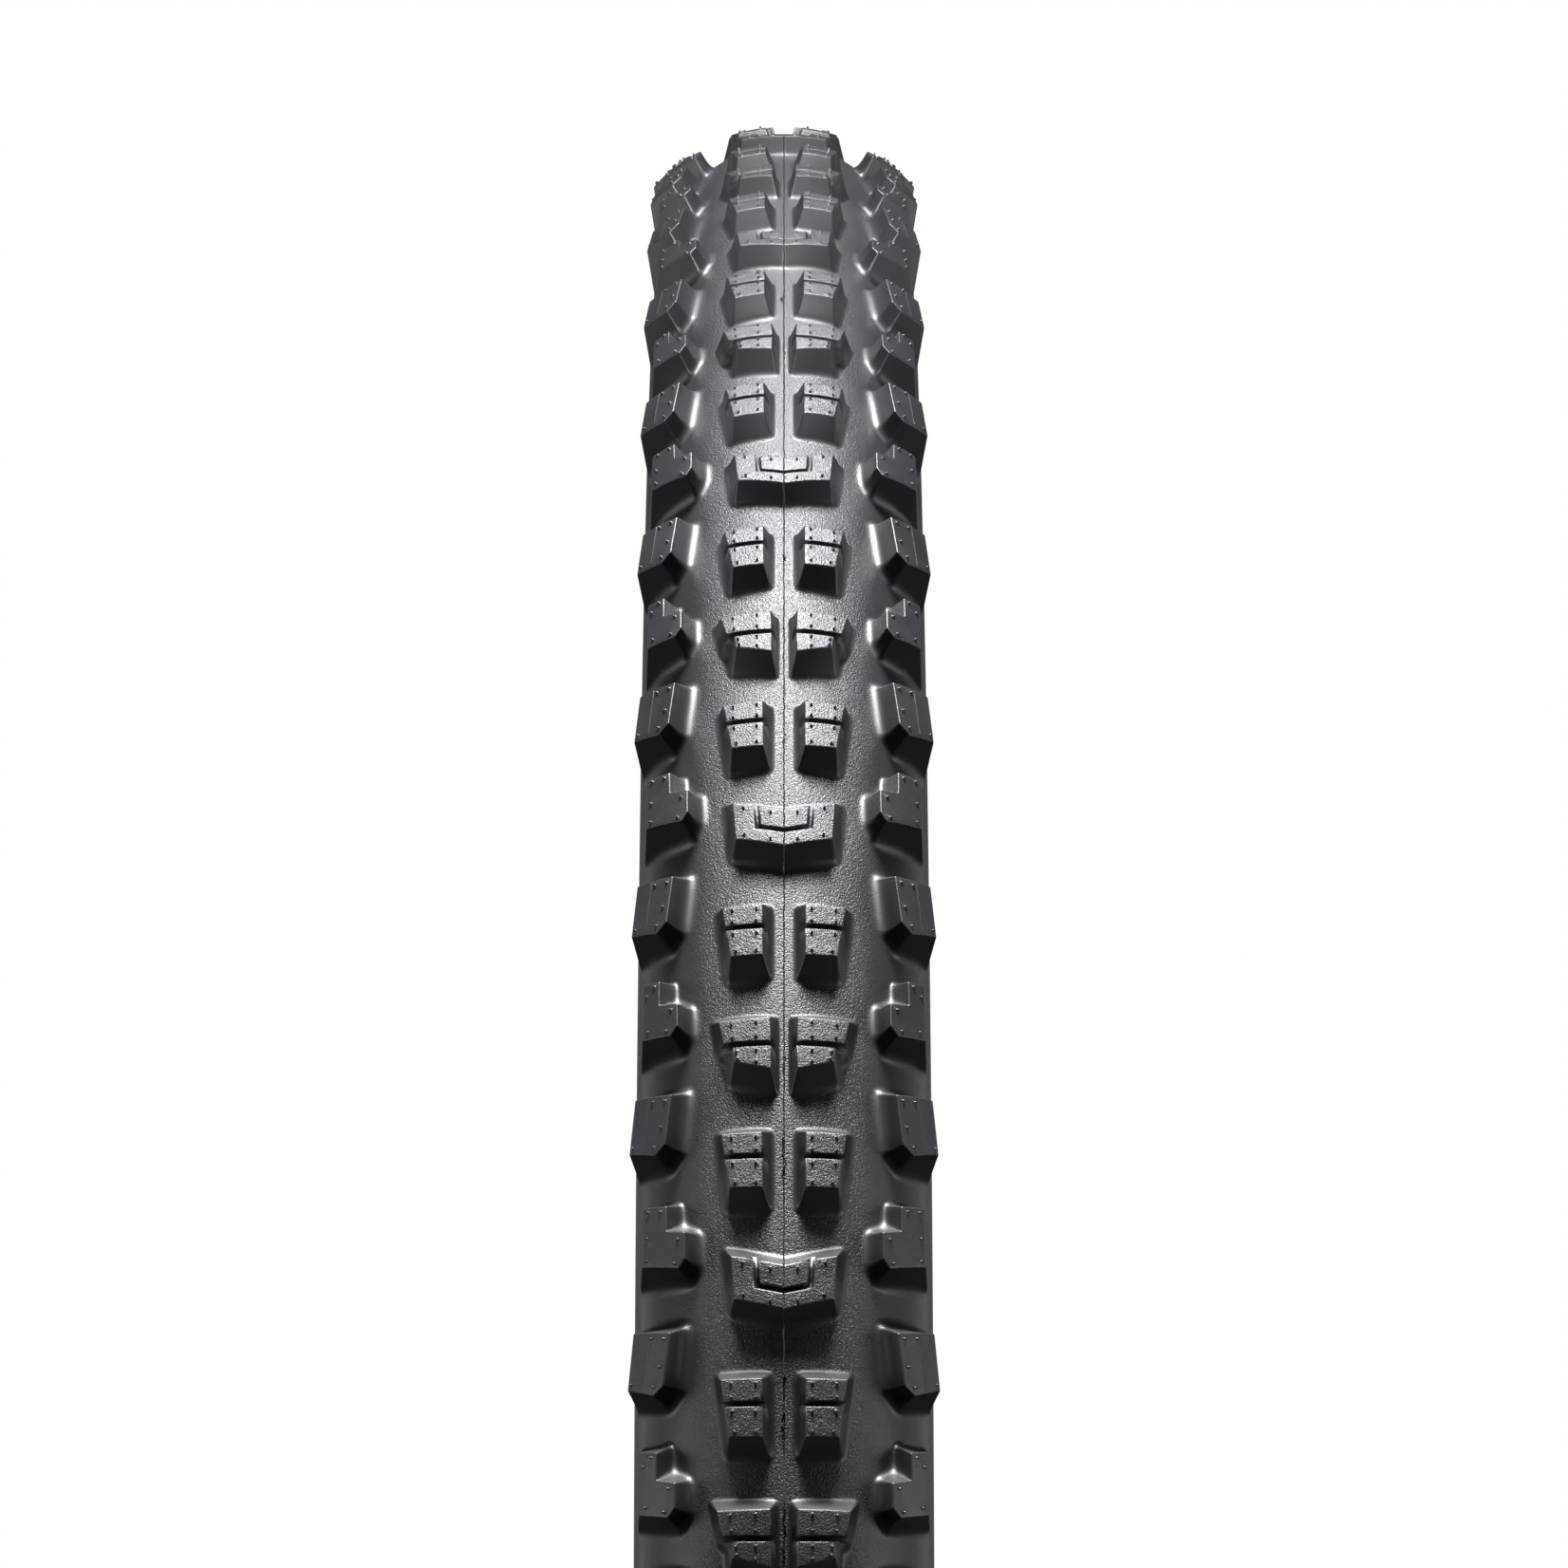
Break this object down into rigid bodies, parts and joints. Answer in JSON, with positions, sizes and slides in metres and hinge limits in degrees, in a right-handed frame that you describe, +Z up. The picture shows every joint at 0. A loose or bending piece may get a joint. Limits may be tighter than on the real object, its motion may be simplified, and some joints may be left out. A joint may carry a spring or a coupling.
{
  "type": "bicycle tire",
  "caption": "Knobbly off-road bicycle tire laid up from beads, plies, liner, sidewalls and a block tread, with open beads that seat on a rim.",
  "frame": {"origin": "wheel centre: the middle of the axle line, halfway between the two beads", "axes": "+Y along the axle, +Z up, +X forward; the tire stands on its tread with its lowest point at -Z"},
  "size_m": [0.7416, 0.0586, 0.7416],
  "materials": {
    "tread_rubber": "matte",
    "shoulder_rubber": "matte",
    "undertread_rubber": "matte",
    "sidewall_rubber": "satin",
    "liner_rubber": "satin",
    "bead_rubber": "matte",
    "chafer_fabric": "matte",
    "ply_fabric": "matte",
    "breaker_fabric": "matte",
    "bead_strand": "satin"
  },
  "bodies": {
    "root": {"tread_center": "tread_rubber", "tread_shoulder_left": "shoulder_rubber", "tread_shoulder_right": "shoulder_rubber", "tread_base": "undertread_rubber", "breaker_belt": "breaker_fabric", "casing_ply_outer": "ply_fabric", "casing_ply_inner": "ply_fabric", "inner_liner": "liner_rubber", "sidewall_rubber_left": "sidewall_rubber", "sidewall_rubber_right": "sidewall_rubber", "chafer_left": "chafer_fabric", "chafer_right": "chafer_fabric", "bead_filler_left": "bead_rubber", "bead_filler_right": "bead_rubber", "bead_rubber_left": "bead_rubber", "bead_rubber_right": "bead_rubber", "bead_core_left": "bead_strand", "bead_core_right": "bead_strand"}
  },
  "joints": []
}
